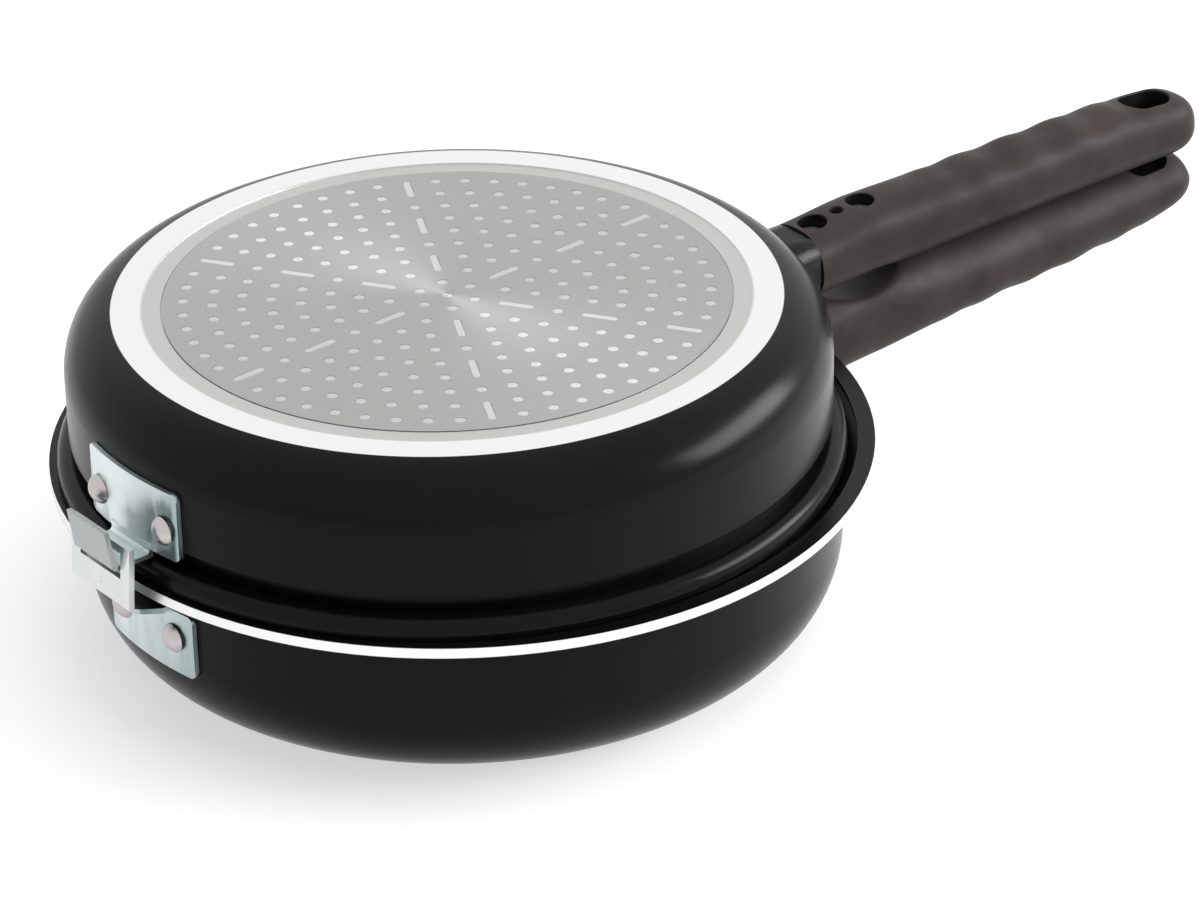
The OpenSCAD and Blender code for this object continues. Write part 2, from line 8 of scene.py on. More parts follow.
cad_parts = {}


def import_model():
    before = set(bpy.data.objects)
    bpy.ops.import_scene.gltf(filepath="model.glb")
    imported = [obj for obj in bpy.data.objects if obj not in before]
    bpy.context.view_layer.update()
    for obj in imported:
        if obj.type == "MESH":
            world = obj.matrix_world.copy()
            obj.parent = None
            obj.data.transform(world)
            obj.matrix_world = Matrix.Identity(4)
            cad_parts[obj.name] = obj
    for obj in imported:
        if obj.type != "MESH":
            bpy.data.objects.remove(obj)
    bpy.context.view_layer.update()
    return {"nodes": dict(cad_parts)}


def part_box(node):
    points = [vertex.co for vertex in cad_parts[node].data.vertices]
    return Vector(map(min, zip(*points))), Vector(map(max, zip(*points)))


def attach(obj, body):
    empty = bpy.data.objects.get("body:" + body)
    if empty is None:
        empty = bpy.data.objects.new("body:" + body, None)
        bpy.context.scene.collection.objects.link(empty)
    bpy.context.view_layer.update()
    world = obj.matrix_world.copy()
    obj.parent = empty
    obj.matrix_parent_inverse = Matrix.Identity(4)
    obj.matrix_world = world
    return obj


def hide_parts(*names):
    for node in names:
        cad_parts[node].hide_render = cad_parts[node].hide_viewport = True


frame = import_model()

MM = 0.001
nodes = frame["nodes"]

# ---- sizes read from the frame, in metres ----

lower_low, lower_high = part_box("lower_pan")
upper_low, upper_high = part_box("upper_pan")
LOWER_RIM_R = (lower_high[1] - lower_low[1]) / 2
UPPER_X = (upper_low[0] + upper_high[0]) / 2
LOWER_TOP = lower_high[2]
UPPER_TOP = upper_high[2]
lower_disc_low, lower_disc_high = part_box("lower_base_disc")
upper_disc_low, upper_disc_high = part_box("upper_base_disc")
LOWER_DISC_R = (lower_disc_high[1] - lower_disc_low[1]) / 2
UPPER_DISC_R = (upper_disc_high[1] - upper_disc_low[1]) / 2
grip_low, grip_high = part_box("upper_grip")
_, under_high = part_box("lower_grip")
GRIP_X = grip_low[0]
GRIP_L = grip_high[0] - grip_low[0]
GRIP_HALF_W = (grip_high[1] - grip_low[1]) / 2
UPPER_SEAM = grip_low[2]
LOWER_SEAM = under_high[2]
SEAM_MID = (UPPER_SEAM + LOWER_SEAM) / 2

# ---- sizes of the grips, each from its own collar end and seam face ----

UPPER_H = 24.8 * MM
LOWER_H = 30.5 * MM
END_L = 12 * MM

# finger waves on the backs, faded in and out along the grip
WAVE_H = 0.42 * MM
WAVE_PITCH = 20.4 * MM
FIRST_CREST = 74 * MM
WAVES_FROM = 52 * MM
WAVES_TO = GRIP_L - 25 * MM
WAVE_FADE_IN = 12 * MM
WAVE_FADE_OUT = 10 * MM

# two screw recesses, the moulding core hole between them and the hanging hole
SCREW_XS = (6.5 * MM, 26.5 * MM)
RECESS_DEPTH = 7.6 * MM
RECESS_R = 4.7 * MM
CORE_X = 16.5 * MM
CORE_R = 2.3 * MM
CORE_DEPTH = 7 * MM
HANG_X = GRIP_L - 18.5 * MM
HANG_L = 19 * MM
HANG_R = 6 * MM

# finger scoop across the seam face, and where the section turns leaner past it
SCOOP_X = 23 * MM
SCOOP_L = 38 * MM
SCOOP_H = 4.5 * MM
SCOOP_POWER = 2.1
LEAN_FROM = 30 * MM
LEAN_L = 25 * MM

# ---- bare metal on the pans ----

RING_W = 6.1 * MM
LOWER_BAND_R = 91.9 * MM
UPPER_BAND_R = 100.6 * MM
RIM_EDGE = 3.5 * MM
# turn of the painted highlight's bow-tie across the turned discs and plugs
PAINTED_HIGHLIGHT_DEGREES = 83.0

# outer parts of the hinge brackets: distance from the lower pan's axis
ARM_FROM = 127.5 * MM
HOOK_FROM = 131.8 * MM


# ---- node helpers ----

class Nodes:
    """Builds one material's node tree with short calls."""

    def __init__(self, name):
        self.mat = bpy.data.materials.new(name)
        self.mat.use_nodes = True
        self.tree = self.mat.node_tree
        self.tree.nodes.clear()
        self.out = self.add("ShaderNodeOutputMaterial")

    def add(self, kind, inputs=None, **settings):
        node = self.tree.nodes.new(kind)
        for key, value in settings.items():
            setattr(node, key, value)
        for key, value in (inputs or {}).items():
            self.put(node.inputs[key], value)
        return node

    def put(self, socket, value):
        if isinstance(value, bpy.types.NodeSocket):
            self.tree.links.new(value, socket)
        else:
            socket.default_value = value

    def math(self, operation, a, b=0.0, c=0.0, clamp=False):
        node = self.add("ShaderNodeMath", operation=operation, use_clamp=clamp)
        for socket, value in zip(node.inputs, (a, b, c)):
            self.put(socket, value)
        return node.outputs[0]

    def above(self, value, edge, soft):
        """0 below edge, 1 above it, with a soft step."""
        node = self.add("ShaderNodeMapRange", {"Value": value, "From Min": edge - soft,
                                               "From Max": edge + soft})
        return node.outputs[0]

    def mix(self, factor, a, b):
        node = self.add("ShaderNodeMix", data_type="RGBA")
        self.put(node.inputs[0], factor)
        self.put(node.inputs[6], a)
        self.put(node.inputs[7], b)
        return node.outputs[2]

    def mix_value(self, factor, a, b):
        node = self.add("ShaderNodeMix", data_type="FLOAT")
        self.put(node.inputs[0], factor)
        self.put(node.inputs[2], a)
        self.put(node.inputs[3], b)
        return node.outputs[0]

    def noise(self, vector, scale, detail=3.0, rough=0.5):
        node = self.add("ShaderNodeTexNoise", {"Vector": vector, "Scale": scale,
                                               "Detail": detail, "Roughness": rough})
        return node.outputs[0]

    def bump(self, height, strength, distance, normal=None):
        node = self.add("ShaderNodeBump", {"Height": height, "Strength": strength,
                                           "Distance": distance})
        if normal is not None:
            self.put(node.inputs["Normal"], normal)
        return node.outputs[0]

    def place(self):
        """Object coordinates: the CAD frame in metres."""
        return self.add("ShaderNodeTexCoord").outputs["Object"]

    def split(self, vector):
        return self.add("ShaderNodeSeparateXYZ", {0: vector}).outputs

    def join(self, x, y, z):
        return self.add("ShaderNodeCombineXYZ", {0: x, 1: y, 2: z}).outputs[0]

    def polar(self, centre_x):
        """Radius and angle about a pan's axis, and the height."""
        x, y, z = self.split(self.place())[:3]
        x = self.math("SUBTRACT", x, centre_x)
        radius = self.math("SQRT", self.math("ADD", self.math("MULTIPLY", x, x),
                                             self.math("MULTIPLY", y, y)))
        return radius, self.math("ARCTAN2", y, x), z

    def finish(self, **inputs):
        shader = self.add("ShaderNodeBsdfPrincipled")
        for key, value in inputs.items():
            self.put(shader.inputs[key.replace("_", " ")], value)
        self.tree.links.new(shader.outputs[0], self.out.inputs["Surface"])
        return self.mat


def rgb(r, g, b):
    return (r, g, b, 1.0)


# ---- materials ----

def turned(mat, radius, angle):
    """Height of fine turning marks round the axis, slightly broken along the turn."""
    along_turn = mat.math("MULTIPLY", angle, 0.0008)
    return mat.noise(mat.join(radius, along_turn, 0.0), 2600.0, 2.0, 0.6)


def rim_edge(mat, radius, height, rim_r, low, high):
    """1 on the bare outer edge of a rim, between two heights."""
    over = mat.above(height, low + 0.15 * MM, 0.1 * MM)
    under = mat.math("SUBTRACT", 1.0, mat.above(height, high - 0.15 * MM, 0.1 * MM))
    return mat.math("MULTIPLY", mat.above(radius, rim_r - 0.25 * MM, 0.1 * MM),
                    mat.math("MULTIPLY", over, under))


def turned_base(mat, radius, height, base_z, base_side, band_r):
    """1 on the turned base, out to the radius of its bare band."""
    depth = mat.math("MULTIPLY", mat.math("SUBTRACT", height, base_z), base_side)
    return mat.math("MULTIPLY", mat.above(depth, -0.9 * MM, 0.02 * MM),
                    mat.math("SUBTRACT", 1.0, mat.above(radius, band_r, 0.12 * MM)))


def pan_material(name, centre_x, base_z, base_side, ring_r, band_r, edge=None):
    """Gloss black enamel, bare aluminium on the turned base and on the rim's edge."""
    mat = Nodes(name)
    radius, angle, height = mat.polar(centre_x)
    place = mat.place()
    base = turned_base(mat, radius, height, base_z, base_side, band_r)
    metal = base
    if edge:
        metal = mat.math("MAXIMUM", base, rim_edge(mat, radius, height, *edge))
    ring = mat.math("SUBTRACT", 1.0, mat.above(radius, ring_r, 0.5 * MM))
    grooves = turned(mat, radius, angle)
    cloud = mat.noise(place, 26.0, 4.0)
    bare = mat.mix(ring, rgb(0.88, 0.88, 0.885), rgb(0.58, 0.58, 0.57))
    speck = mat.noise(place, 900.0, 3.0)
    enamel = mat.mix(cloud, rgb(0.0028, 0.0028, 0.0032), rgb(0.0050, 0.0050, 0.0056))
    rough_bare = mat.mix_value(grooves, 0.36, 0.5)
    rough_enamel = mat.mix_value(cloud, 0.20, 0.28)
    groove_h = mat.math("MULTIPLY", grooves, metal)
    peel = mat.math("MULTIPLY", mat.noise(place, 420.0, 2.0), 0.35)
    height_all = mat.math("ADD", groove_h, peel)
    return mat.finish(
        Base_Color=mat.mix(metal, enamel, bare),
        Metallic=metal, Specular_IOR_Level=0.115,
        Roughness=mat.mix_value(metal, rough_enamel, rough_bare),
        Normal=mat.bump(mat.math("ADD", height_all, mat.math("MULTIPLY", speck, 0.05)),
                        0.12, 0.05 * MM))


def painted_highlight(mat, angle, radius, reach):
    """Mask of a painted highlight: a bow-tie of light across turned metal, strongest near the
    centre.
    """
    across = mat.math("COSINE", mat.math("ADD", angle, math.radians(PAINTED_HIGHLIGHT_DEGREES)))
    bow = mat.math("POWER", mat.math("ABSOLUTE", across), 7.0)
    fade = mat.add("ShaderNodeMapRange", {"Value": radius, "From Min": 0.0, "From Max": reach,
                                          "To Min": 1.0, "To Max": 0.25}).outputs[0]
    return mat.math("MULTIPLY", bow, fade)


def disc_material(name, centre_x):
    """Turned steel sheet: fine rings, a grainy tone and a faint painted highlight across it."""
    mat = Nodes(name)
    radius, angle, _ = mat.polar(centre_x)
    grooves = turned(mat, radius, angle)
    place = mat.place()
    cloud = mat.noise(place, 40.0, 4.0)
    grain = mat.noise(place, 1500.0, 2.0, 0.7)
    tone = mat.math("ADD", mat.math("MULTIPLY", grooves, 0.45), mat.math("MULTIPLY", grain, 0.45))
    colour = mat.mix(tone, rgb(0.36, 0.36, 0.348), rgb(0.51, 0.508, 0.49))
    # painted highlight: the steel's colour lightens along the bow-tie
    colour = mat.mix(mat.math("MULTIPLY", painted_highlight(mat, angle, radius, 60 * MM), 0.6), colour,
                     rgb(0.72, 0.72, 0.71))
    return mat.finish(
        Base_Color=colour, Metallic=1.0,
        Roughness=mat.mix_value(cloud, 0.34, 0.44),
        Normal=mat.bump(mat.math("ADD", grooves, mat.math("MULTIPLY", grain, 0.5)),
                        0.3, 0.05 * MM))


def plug_material(name, centre_x):
    """Aluminium that fills the disc's perforations, lighter where the painted highlight crosses it.
    """
    mat = Nodes(name)
    radius, angle, _ = mat.polar(centre_x)
    grooves = turned(mat, radius, angle)
    plain = mat.mix(grooves, rgb(0.56, 0.56, 0.55), rgb(0.68, 0.68, 0.67))
    # painted highlight: the plugs' lighter colour along the bow-tie
    painted_glint_tone = mat.mix(grooves, rgb(0.84, 0.84, 0.83), rgb(0.93, 0.93, 0.92))
    return mat.finish(
        Base_Color=mat.mix(painted_highlight(mat, angle, radius, 300 * MM), plain, painted_glint_tone),
        Metallic=1.0, Roughness=mat.mix_value(grooves, 0.34, 0.44),
        Normal=mat.bump(grooves, 0.25, 0.05 * MM))


def painted_plate_reflection(mat, outer_x, outer):
    """Plate colours with a painted reflection that runs from pale to teal across the plate, and the
    outer part's colour.
    """
    x, y, _ = mat.split(mat.place())[:3]
    # painted reflection: paler towards +Y and teal towards -Y, broken by a random cloud
    drift = mat.math("ADD", mat.math("MULTIPLY", y, 20.0), 0.85)
    drift = mat.math("ADD", drift, mat.math("MULTIPLY", mat.noise(mat.place(), 55.0), 0.5))
    drift = mat.math("SUBTRACT", drift, 0.25, clamp=True)
    plate = mat.mix(drift, rgb(0.20, 0.29, 0.29), rgb(0.72, 0.80, 0.80))
    return mat.mix(mat.above(mat.math("MULTIPLY", x, -1.0), outer_x, 0.4 * MM), plate, outer)


def zinc_material(name, tint, scale=160.0, outer_x=None):
    """Satin zinc plating: faint cloudy spangle and fine rolled grain."""
    mat = Nodes(name)
    place = mat.place()
    cloud = mat.noise(place, scale, 4.0, 0.6)
    grain_x, grain_y, grain_z = mat.split(place)[:3]
    grain = mat.noise(mat.join(mat.math("MULTIPLY", grain_x, 3.0),
                               mat.math("MULTIPLY", grain_y, 0.3), grain_z), 3200.0, 2.0)
    dark = tuple(c * 0.82 for c in tint[:3]) + (1.0,)
    colour = mat.mix(cloud, dark, tint)
    # the hinge plates get their painted reflection here
    if outer_x is not None:
        colour = painted_plate_reflection(mat, outer_x, colour)
    return mat.finish(
        Base_Color=colour, Metallic=1.0,
        Roughness=mat.mix_value(cloud, 0.26, 0.44),
        Normal=mat.bump(mat.math("ADD", mat.math("MULTIPLY", grain, 0.5), cloud),
                        0.15, 0.06 * MM))


def hole_shade_mask(mat, x_mid, length, radius, depth=0.0):
    """1 down an upright hole or slot of the grips, more than depth from the seam, where the painted
    shade goes.
    """
    x, y, z = mat.split(mat.place())[:3]
    dx = mat.math("ABSOLUTE", mat.math("SUBTRACT", x, x_mid))
    dx = mat.math("MAXIMUM", mat.math("SUBTRACT", dx, length / 2), 0.0)
    away = mat.math("SQRT", mat.math("ADD", mat.math("MULTIPLY", dx, dx),
                                     mat.math("MULTIPLY", y, y)))
    off_seam = mat.math("ABSOLUTE", mat.math("SUBTRACT", z, SEAM_MID))
    return mat.math("MULTIPLY", mat.above(off_seam, depth, 0.5 * MM),
                    mat.math("SUBTRACT", 1.0, mat.above(away, radius + 0.15 * MM, 0.2 * MM)))


def bakelite_material(name):
    """Dark brown-grey bakelite: satin skin, fine grain, faint flow clouds, and painted shade down
    in the holes.
    """
    mat = Nodes(name)
    place = mat.place()
    hole_shade = hole_shade_mask(mat, GRIP_X + HANG_X, HANG_L - 2 * HANG_R, HANG_R)
    for x in SCREW_XS:
        hole_shade = mat.math("MAXIMUM", hole_shade, hole_shade_mask(mat, GRIP_X + x, 0.0, RECESS_R,
                                                           UPPER_H / 2))
    cloud = mat.above(mat.noise(place, 62.0, 4.0, 0.6), 0.5, 0.16)
    drift = mat.above(mat.noise(place, 24.0, 2.0), 0.52, 0.14)
    grain = mat.noise(place, 1700.0, 3.0, 0.6)
    colour = mat.mix(cloud, rgb(0.020, 0.0157, 0.0150), rgb(0.041, 0.0327, 0.0314))
    colour = mat.mix(mat.math("MULTIPLY", drift, 0.5), colour, rgb(0.026, 0.0247, 0.0256))
    colour = mat.mix(mat.math("MULTIPLY", grain, 0.3), colour, rgb(0.054, 0.045, 0.0432))
    # painted shade: near black down the hanging hole and the screw recesses
    colour = mat.mix(hole_shade, colour, rgb(0.005, 0.005, 0.005))
    return mat.finish(
        Base_Color=colour, Roughness=mat.mix_value(cloud, 0.50, 0.40), Specular_IOR_Level=0.1,
        Normal=mat.bump(grain, 0.25, 0.08 * MM))


def collar_material(name):
    """Satin black moulding, smoother than the grips."""
    mat = Nodes(name)
    grain = mat.noise(mat.place(), 1300.0, 3.0, 0.6)
    return mat.finish(
        Base_Color=mat.mix(grain, rgb(0.003, 0.003, 0.0035), rgb(0.006, 0.006, 0.0065)),
        Roughness=mat.mix_value(grain, 0.22, 0.34), Specular_IOR_Level=0.16,
        Normal=mat.bump(grain, 0.2, 0.06 * MM))


def dress(obj, material):
    """Gives an object one material."""
    obj.data.materials.clear()
    obj.data.materials.append(material)


lower_enamel = pan_material("lower_enamel", 0.0, 0.0, -1.0, LOWER_DISC_R + RING_W, LOWER_BAND_R,
                            (LOWER_RIM_R, LOWER_TOP - RIM_EDGE, LOWER_TOP))
upper_enamel = pan_material("upper_enamel", UPPER_X, UPPER_TOP, 1.0, UPPER_DISC_R + RING_W,
                            UPPER_BAND_R)
lower_steel = disc_material("lower_disc_steel", 0.0)
upper_steel = disc_material("upper_disc_steel", UPPER_X)
# both hinge materials paint a reflection across their plates
arm_zinc = zinc_material("lower_hinge_zinc", rgb(0.78, 0.81, 0.80), outer_x=ARM_FROM)
# painted shade: the upper bracket's outer hook is tinted darker than its plate
shaded_hook_zinc = zinc_material("upper_hinge_zinc", rgb(0.47, 0.49, 0.49), outer_x=HOOK_FROM)
bracket_zinc = zinc_material("bracket_zinc", rgb(0.66, 0.68, 0.68))
rivet_metal = zinc_material("rivet_aluminium", rgb(0.60, 0.56, 0.555), 300.0)
screw_metal = zinc_material("screw_steel", rgb(0.72, 0.72, 0.72), 400.0)
bakelite = bakelite_material("grip_bakelite")
collar_black = collar_material("collar_black")

LOOKS = {
    "lower_pan": lower_enamel, "upper_pan": upper_enamel,
    "lower_base_disc": lower_steel, "upper_base_disc": upper_steel,
    "lower_hinge_bracket": arm_zinc, "upper_hinge_bracket": shaded_hook_zinc,
    "hinge_rivets": rivet_metal,
    "handle_bracket": bracket_zinc, "handle_rivets": rivet_metal,
    "collar": collar_black, "grip": bakelite,
    "grip_screws": screw_metal, "screw_washers": screw_metal,
}
for node_name, node_obj in nodes.items():
    short = node_name.split("_", 1)[1]
    dress(node_obj, LOOKS.get(node_name) or LOOKS[short])


# ---- fine shapes on the CAD nodes ----

def soften(node, width, segments=2, angle=35):
    """Rounds a CAD node's sharp edges with modifiers; the mesh itself stays as it is."""
    obj = nodes[node]
    weld = obj.modifiers.new("weld", "WELD")
    weld.merge_threshold = 0.002 * MM
    bevel = obj.modifiers.new("round", "BEVEL")
    bevel.width = width
    bevel.segments = segments
    bevel.limit_method = "ANGLE"
    bevel.angle_limit = math.radians(angle)
    bevel.use_clamp_overlap = True
    bevel.harden_normals = True


for side in ("lower", "upper"):
    soften(side + "_hinge_bracket", 0.3 * MM)
    soften(side + "_collar", 0.5 * MM)


# ---- aluminium in the discs' perforations ----

DOT_R = 1.65 * MM
BAR_R = 1.2 * MM
DOT_RINGS = 9
SPOKES = 6
SPOKE_TURN = math.radians(2)
SPOKE_STEP = math.radians(360 / SPOKES)


def outline(length, radius, steps=20):
    """Points round a slot with round ends, or round a circle where length is 0."""
    points = []
    for i in range(steps):
        a = 2 * math.pi * i / steps
        shift = math.copysign(length / 2, math.cos(a)) if length else 0.0
        points.append((shift + radius * math.cos(a), radius * math.sin(a)))
    return points


def add_plug(mesh, x, y, turn, length, size, base_z, face_z):
    """One plug with a slightly sunk, softly rounded face."""
    c, s = math.cos(turn), math.sin(turn)
    rise = face_z - base_z
    rings = []
    for radius, z in ((size * 0.98, base_z), (size * 0.98, base_z + 0.86 * rise),
                      (size * 0.9, base_z + rise)):
        ring = [mesh.verts.new((x + c * px - s * py, y + s * px + c * py, z))
                for px, py in outline(length, radius)]
        rings.append(ring)
    for low, high in zip(rings, rings[1:]):
        for i, vert in enumerate(low):
            j = (i + 1) % len(low)
            mesh.faces.new((vert, low[j], high[j], high[i]))
    mesh.faces.new(rings[-1])


def plugs(name, centre_x, disc_r, base_z, face_z, body, look):
    """All plugs of one disc: rings of dots, with bars along the spokes in between."""
    mesh = bmesh.new()
    pitch = disc_r / (DOT_RINGS + 0.73)
    add_plug(mesh, centre_x, 0.0, 0.0, 0.0, DOT_R, base_z, face_z)
    for ring in range(1, DOT_RINGS + 1):
        for i in range(SPOKES * ring):
            under_bar = i % ring == 0 and ring % 3 != 1
            if under_bar:
                continue
            a = SPOKE_TURN + SPOKE_STEP * i / ring
            add_plug(mesh, centre_x + ring * pitch * math.cos(a), ring * pitch * math.sin(a),
                     a, 0.0, DOT_R, base_z, face_z)
    for spoke in range(SPOKES):
        a = SPOKE_TURN + SPOKE_STEP * spoke
        for bar in range(1, DOT_RINGS // 3 + 1):
            r = (3 * bar - 0.5) * pitch
            add_plug(mesh, centre_x + r * math.cos(a), r * math.sin(a), a, pitch,
                     BAR_R, base_z, face_z)
    bmesh.ops.recalc_face_normals(mesh, faces=mesh.faces)
    obj = new_piece(name, mesh, look)
    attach(obj, body)


def new_piece(name, mesh, look, sharp=35):
    """Turns a bmesh into a smooth object with its look."""
    data = bpy.data.meshes.new(name)
    mesh.to_mesh(data)
    mesh.free()
    obj = bpy.data.objects.new(name, data)
    bpy.context.scene.collection.objects.link(obj)
    data.shade_smooth()
    data.set_sharp_from_angle(angle=math.radians(sharp))
    data.materials.append(look)
    return obj


plugs("lower_disc_plugs", 0.0, LOWER_DISC_R, lower_disc_high[2], lower_disc_low[2] + 0.02 * MM,
      "lower_half", plug_material("lower_plugs", 0.0))
plugs("upper_disc_plugs", UPPER_X, UPPER_DISC_R, upper_disc_low[2],
      upper_disc_high[2] - 0.02 * MM, "upper_half", plug_material("upper_plugs", UPPER_X))


# ---- grips ----

UPPER_LINE = ((0, UPPER_H - 2 * MM), (26 * MM, UPPER_H), (56 * MM, UPPER_H - 0.7 * MM),
              (GRIP_L - 43 * MM, UPPER_H - 0.9 * MM), (GRIP_L - 25 * MM, UPPER_H - 2 * MM),
              (GRIP_L, UPPER_H - 4 * MM))
LOWER_LINE = ((0, LOWER_H), (26 * MM, LOWER_H - 1.4 * MM), (56 * MM, LOWER_H - 3.3 * MM),
              (81 * MM, LOWER_H - 4.7 * MM), (106 * MM, LOWER_H - 5.3 * MM),
              (GRIP_L - 43 * MM, LOWER_H - 6.8 * MM), (GRIP_L - 25 * MM, LOWER_H - 8.4 * MM),
              (GRIP_L, LOWER_H - 13 * MM))


def ramp(x, start, length):
    """0 at start, 1 a length further on, and straight between."""
    return min(max((x - start) / length, 0.0), 1.0)


def along(x, line):
    """Smooth height of an outline at x, through its points."""
    for (x0, h0), (x1, h1) in zip(line, line[1:]):
        if x <= x1:
            t = ramp(x, x0, x1 - x0)
            t = t * t * (3 - 2 * t) * 0.5 + t * 0.5
            return h0 + (h1 - h0) * t
    return line[-1][1]


class Grip:
    """A grip's surface in its own frame: x from the collar, z from the seam face."""

    rings, around, end_rings = 150, 72, 16
    end_power = 2.3

    def __init__(self, line, end_mid, end_w, mid_share, seam_power, back_power):
        self.line = line
        self.end_mid = end_mid
        self.end_w = end_w
        self.mid_share = mid_share
        self.seam_power = seam_power
        self.back_power = back_power

    def half_w(self, x):
        """Half width at x: it tapers towards the end."""
        return GRIP_HALF_W + (self.end_w - GRIP_HALF_W) * max(x, 0.0) / GRIP_L

    def back(self, x):
        """Height of the back on the middle line, with its finger waves."""
        fade = ramp(x, WAVES_FROM, WAVE_FADE_IN) * ramp(-x, -WAVES_TO, WAVE_FADE_OUT)
        wave = math.cos(2 * math.pi * (x - FIRST_CREST) / WAVE_PITCH)
        return along(x, self.line) + WAVE_H * fade * wave

    def seam_curve(self, x):
        """Power of the seam side's curve: full at the scoop, leaner past it."""
        return SCOOP_POWER + (self.seam_power - SCOOP_POWER) * ramp(x, LEAN_FROM, LEAN_L)

    def section(self, x, a):
        """Point (y, z) of the section at x, a running round it from the +Y side."""
        mid = self.mid_share * along(x, self.line)
        c, s = math.cos(a), math.sin(a)
        power = 2 / (self.back_power if s > 0 else self.seam_curve(x))
        y = self.half_w(x) * math.copysign(abs(c) ** power, c)
        z = mid + (self.back(x) - mid if s > 0 else mid) * math.copysign(abs(s) ** power, s)
        shrink = 1.0
        start = GRIP_L - END_L
        if x > start:
            shrink = max(1 - ((x - start) / END_L) ** self.end_power, 0.0) ** (1 / self.end_power)
        return y * shrink, self.end_mid + (z - self.end_mid) * shrink

    def back_at(self, x, y):
        """Height of the back over the point (x, y)."""
        low, high = 0.0, math.pi / 2
        for _ in range(24):
            a = (low + high) / 2
            if self.section(x, a)[0] > abs(y):
                low = a
            else:
                high = a
        return self.section(x, low)[1]

    def side_at(self, x, z):
        """Half width at the height z, for the side that faces the seam."""
        low, high = -math.pi / 2, 0.0
        for _ in range(24):
            a = (low + high) / 2
            if self.section(x, a)[1] > z:
                high = a
            else:
                low = a
        return self.section(x, low)[0]

    def stations(self):
        """Places of the mesh's rings along x, closer together towards the round end."""
        start = GRIP_L - END_L
        straight = [start * i / (self.rings - 1) for i in range(self.rings)]
        return straight + [start + END_L * math.sin(math.pi / 2 * i / self.end_rings)
                           for i in range(1, self.end_rings)]

    def solid(self):
        """Closed mesh of the grip before its holes are cut."""
        around = self.around
        mesh = bmesh.new()
        rings = []
        for x in self.stations():
            rings.append([mesh.verts.new((x, *self.section(x, 2 * math.pi * i / around)))
                          for i in range(around)])
        for low, high in zip(rings, rings[1:]):
            for i in range(around):
                j = (i + 1) % around
                mesh.faces.new((low[i], low[j], high[j], high[i]))
        mesh.faces.new(rings[0])
        tip = mesh.verts.new((GRIP_L, 0, self.end_mid))
        for i in range(around):
            mesh.faces.new((rings[-1][i], rings[-1][(i + 1) % around], tip))
        return mesh


def fillet(radius, flare, steps=6):
    """(outline radius, depth under the surface) pairs down a hole's rounded mouth."""
    pairs = [(radius + flare, -3 * MM)]
    for i in range(steps + 1):
        a = math.pi / 2 * i / steps
        pairs.append((radius + flare * (1 - math.sin(a)), flare * (1 - math.cos(a))))
    return pairs


def stack(rings):
    """Closed mesh over a list of equal rings of points."""
    mesh = bmesh.new()
    rows = [[mesh.verts.new(point) for point in ring] for ring in rings]
    for low, high in zip(rows, rows[1:]):
        for i in range(len(low)):
            j = (i + 1) % len(low)
            mesh.faces.new((low[i], low[j], high[j], high[i]))
    mesh.faces.new(rows[0])
    mesh.faces.new(rows[-1])
    bmesh.ops.recalc_face_normals(mesh, faces=mesh.faces)
    return mesh


def back_hole(grip, x, length, radius, flare, floor_z):
    """Cutter that comes in through the back, down to floor_z, or through where it is None."""
    rings = []
    for r, depth in fillet(radius, flare):
        rings.append([(x + px, py, grip.back_at(x + px, py) - depth)
                      for px, py in outline(length, r, 40)])
    if floor_z is not None:
        rings.append([(x + px, py, floor_z) for px, py in outline(length, radius, 40)])
    else:
        for r, depth in reversed(fillet(radius, flare)):
            rings.append([(x + px, py, depth) for px, py in outline(length, r, 40)])
    return stack(rings)


def scoop(grip, flare=1.3 * MM):
    """Cutter across the seam face, with rounded lips on both sides."""
    radius = (SCOOP_L ** 2 / 4 + SCOOP_H ** 2) / (2 * SCOOP_H)
    centre_z = SCOOP_H - radius
    half = math.asin(min(1.0, (SCOOP_L / 2 + 6 * MM) / radius))
    steps = 40

    def ring(r, side, depth):
        points = []
        for i in range(steps + 1):
            a = -half + 2 * half * i / steps
            x, z = SCOOP_X + r * math.sin(a), centre_z + r * math.cos(a)
            y = grip.side_at(x, max(z, 0.3 * MM)) - depth
            points.append((x, side * y, z))
        low_z = -12 * MM
        y_low = points[0][1]
        points.append((points[-1][0], y_low, low_z))
        points.append((points[0][0], y_low, low_z))
        return points

    rings = [ring(r, -1, depth) for r, depth in fillet(radius, flare)]
    rings += [ring(r, 1, depth) for r, depth in reversed(fillet(radius, flare))]
    return stack(rings)


def carve(obj, cutters):
    """Cuts each bmesh out of the object, and applies it."""
    for cutter in cutters:
        data = bpy.data.meshes.new("cutter")
        cutter.to_mesh(data)
        cutter.free()
        tool = bpy.data.objects.new("cutter", data)
        bpy.context.scene.collection.objects.link(tool)
        cut = obj.modifiers.new("cut", "BOOLEAN")
        cut.operation = "DIFFERENCE"
        cut.solver = "EXACT"
        cut.object = tool
        graph = bpy.context.evaluated_depsgraph_get()
        graph.update()
        result = bpy.data.meshes.new_from_object(obj.evaluated_get(graph))
        obj.modifiers.remove(cut)
        obj.data = result
        bpy.data.objects.remove(tool)
        bpy.data.meshes.remove(data)


